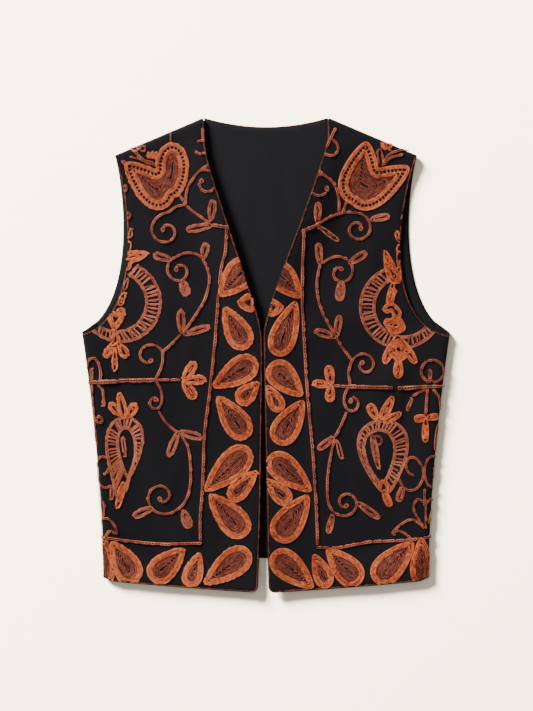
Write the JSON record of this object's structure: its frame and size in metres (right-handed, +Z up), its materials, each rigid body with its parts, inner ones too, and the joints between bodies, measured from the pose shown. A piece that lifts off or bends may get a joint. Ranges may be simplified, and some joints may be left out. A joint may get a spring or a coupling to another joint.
{
  "type": "gilet",
  "caption": "Sleeveless open-fronted gilet with a deep V neck, laid flat on its back, with raised chain-stitch motifs on both fronts.",
  "frame": {"origin": "centre of the bounding box on the surface that the gilet lies on", "axes": "+Y from the hem to the neck, +X to the wearer's left, +Z up from the surface to the fronts"},
  "size_m": [0.4998, 0.6448, 0.0146],
  "materials": {
    "cloth": "matt black cotton with orange and rust wool chain stitch",
    "lining": "dark grey lining with a faint sheen"
  },
  "bodies": {
    "root": {"front_right": "cloth", "front_left": "cloth", "back": "cloth", "back_lining": "lining"}
  },
  "joints": []
}
